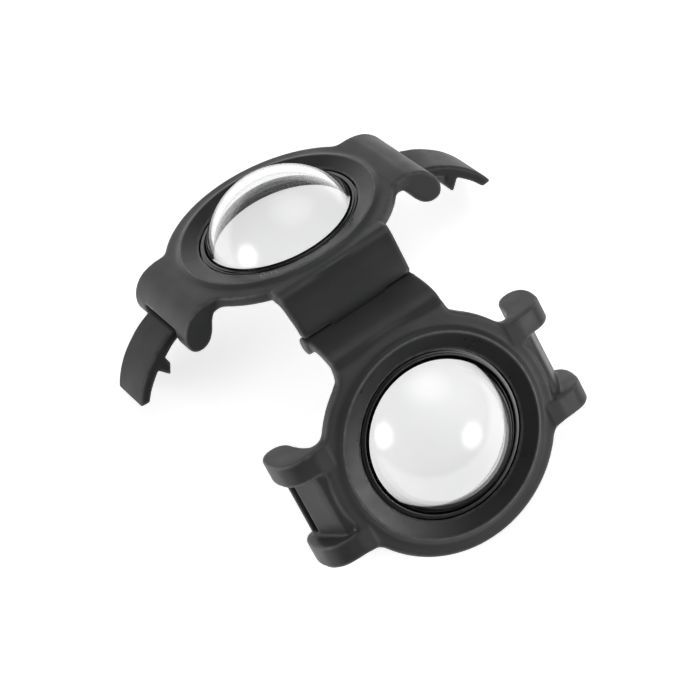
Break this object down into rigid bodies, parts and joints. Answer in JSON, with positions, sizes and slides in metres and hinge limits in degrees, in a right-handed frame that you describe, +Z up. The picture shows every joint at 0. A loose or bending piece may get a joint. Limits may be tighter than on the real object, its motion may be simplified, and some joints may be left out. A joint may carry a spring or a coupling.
{
  "type": "clip-on dome lens guard",
  "caption": "Folding lens guard with two ring frames that each hold a clear dome, joined by a hinged bridge and closed by swing-out latch arms.",
  "frame": {"origin": "middle of the footprint, on the surface that the open guard stands on", "axes": "+Z up, X along the hinge, front frame towards -Y, rear frame with the latch arms towards +Y"},
  "size_m": [0.0708, 0.0768, 0.0276],
  "materials": {
    "frame_plastic": "fine matte moulded",
    "gasket_rubber": "smooth, slightly glossy",
    "pad_rubber": "soft matt",
    "dome_clear": "clear polished",
    "pin_steel": "satin"
  },
  "bodies": {
    "front": {"front_frame": "frame_plastic", "front_dome": "dome_clear", "front_gasket": "gasket_rubber", "front_retainer": "frame_plastic", "front_pad": "pad_rubber", "hinge_pin": "pin_steel"},
    "rear": {"rear_frame": "frame_plastic", "rear_dome": "dome_clear", "rear_gasket": "gasket_rubber", "rear_retainer": "frame_plastic", "rear_pad": "pad_rubber", "left_latch_pin": "pin_steel", "right_latch_pin": "pin_steel"},
    "left_latch": {"left_latch_arm": "frame_plastic"},
    "right_latch": {"right_latch_arm": "frame_plastic"}
  },
  "joints": [
    {"name": "fold", "type": "hinge", "parent": "front", "child": "rear", "pos_m": [0, 0.00013, 0.02118], "axis": [1, 0, 0], "range_deg": [-102.7, 0]},
    {"name": "left_latch_swing", "type": "hinge", "parent": "rear", "child": "left_latch", "pos_m": [-0.0222, 0.02051, 0.01122], "axis": [0, 0.7767, -0.6299], "range_deg": [-31, 0]},
    {"name": "right_latch_swing", "type": "hinge", "parent": "rear", "child": "right_latch", "pos_m": [0.0222, 0.02051, 0.01122], "axis": [0, -0.7767, 0.6299], "range_deg": [-31, 0]}
  ]
}
